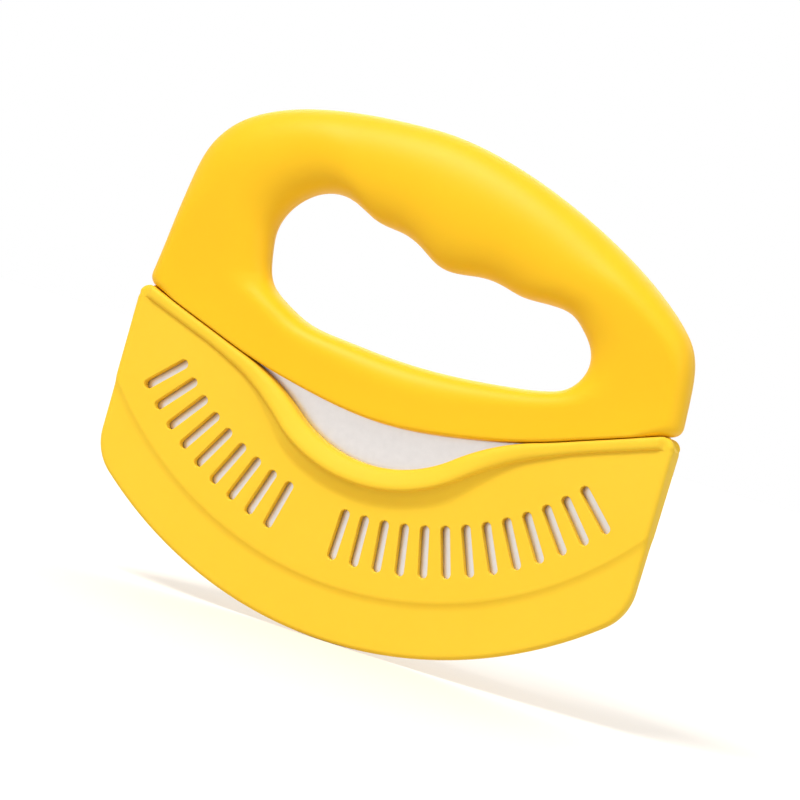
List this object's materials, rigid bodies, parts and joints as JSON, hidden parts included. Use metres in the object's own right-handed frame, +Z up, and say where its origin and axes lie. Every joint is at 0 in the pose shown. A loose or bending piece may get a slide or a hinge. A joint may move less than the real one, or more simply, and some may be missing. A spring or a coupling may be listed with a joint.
{
  "type": "dough cutter",
  "caption": "Rocking dough cutter: moulded loop handle with finger grooves, arc-edged steel blade and a slip-on blade sheath with drain slots and a dipped lip.",
  "frame": {"origin": "Middle of the bounding box's bottom face, which is the lowest point of the sheath's arc, midway across the width and the thickness.", "axes": "+X along the width towards the end with the long sloping shoulder, +Y from the face with the drain slots to the plain back, +Z up from the blade's edge to the crown of the handle."},
  "size_m": [0.19, 0.024, 0.169],
  "materials": {
    "handle_plastic": "satin soft-touch",
    "sheath_plastic": "fine matte moulded",
    "blade_steel": "fine brushed stainless",
    "pin_steel": "plain ground"
  },
  "bodies": {
    "sheath": {"sheath": "sheath_plastic"},
    "cutter": {"handle_front": "handle_plastic", "handle_back": "handle_plastic", "blade": "blade_steel", "blade_pin_1": "pin_steel", "blade_pin_2": "pin_steel", "blade_pin_3": "pin_steel", "blade_pin_4": "pin_steel"}
  },
  "joints": [
    {"name": "sheath_slide", "type": "slide", "parent": "sheath", "child": "cutter", "axis": [0, 0, 1], "range_m": [0, 0.11]}
  ]
}
